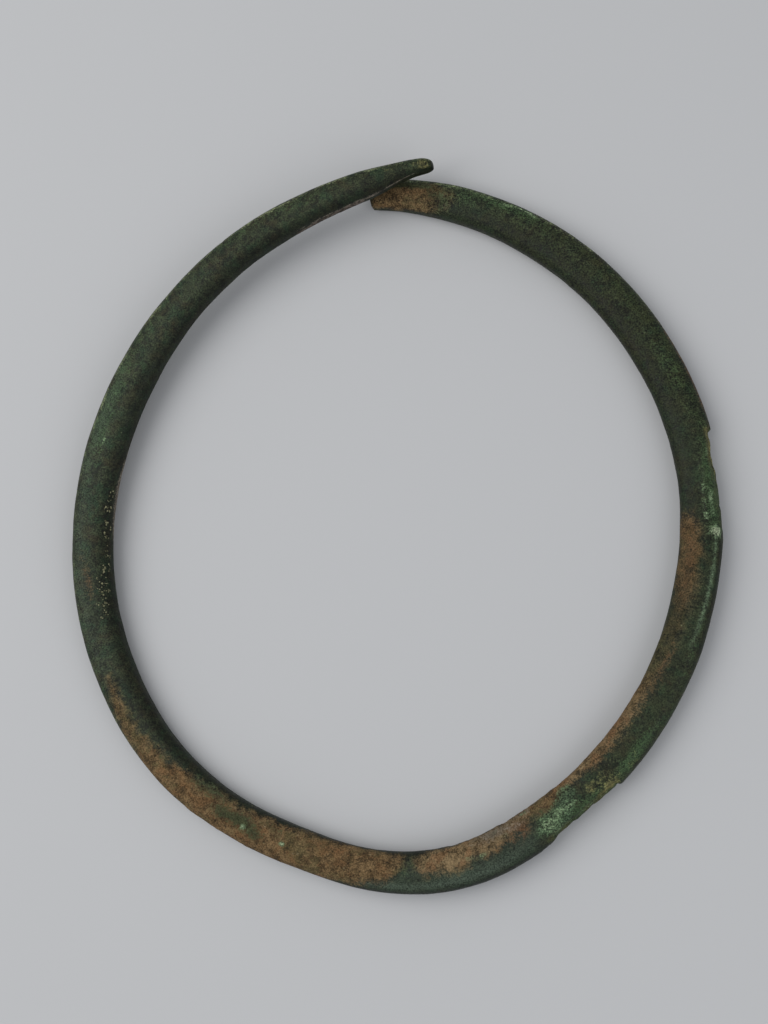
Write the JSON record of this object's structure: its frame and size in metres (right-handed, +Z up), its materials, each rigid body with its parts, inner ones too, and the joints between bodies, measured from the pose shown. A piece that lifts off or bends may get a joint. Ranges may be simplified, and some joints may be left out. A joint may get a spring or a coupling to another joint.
{
  "type": "bracelet",
  "caption": "Bronze rod bracelet bent into a springy hoop with overlapping tapered ends, in a green patina skin with earth crusts.",
  "frame": {"origin": "on the table under the middle of the bracelet's box", "axes": "+Y towards the overlapping ends, +X towards the arm with the blunt end, +Z up, square to the plane of the hoop"},
  "size_m": [0.0658, 0.072, 0.0056],
  "materials": {
    "bronze": "corroded, hidden under the skin",
    "patina": "smooth dark green mineral skin with a faint gloss",
    "earth": "rough matt brown earth",
    "pale_earth": "rough matt tan earth",
    "malachite": "powdery pale green",
    "grit": "rough pale grains"
  },
  "bodies": {
    "back": {"core_back": "bronze", "patina_back": "patina", "malachite_in_lower_chip": "malachite", "malachite_bloom_lower": "malachite", "earth_at_lower_right": "pale_earth", "tan_earth_at_bottom": "pale_earth", "pale_earth_at_bottom": "pale_earth", "earth_at_bottom": "earth", "earth_at_bottom_left": "earth"},
    "left_arm": {"core_left_arm": "bronze", "patina_left_arm": "patina", "earth_on_lower_left": "earth", "grit_inside_left": "grit", "grit_under_left_tip": "grit", "malachite_on_left_side": "malachite"},
    "right_arm": {"core_right_arm": "bronze", "patina_right_arm": "patina", "malachite_in_upper_chip": "malachite", "malachite_on_right_rim": "malachite", "earth_on_right_arm": "earth", "earth_on_right_end": "earth"}
  },
  "joints": [
    {"name": "left_arm_flex", "type": "hinge", "parent": "back", "child": "left_arm", "pos_m": [-0.0222, -0.02346, 0.0015], "axis": [0, 0, 1], "range_deg": [0, 4], "stiffness_Nm_per_rad": 33},
    {"name": "right_arm_flex", "type": "hinge", "parent": "back", "child": "right_arm", "pos_m": [0.02197, -0.02368, 0.0015], "axis": [0, 0, -1], "range_deg": [0, 4], "stiffness_Nm_per_rad": 33}
  ]
}
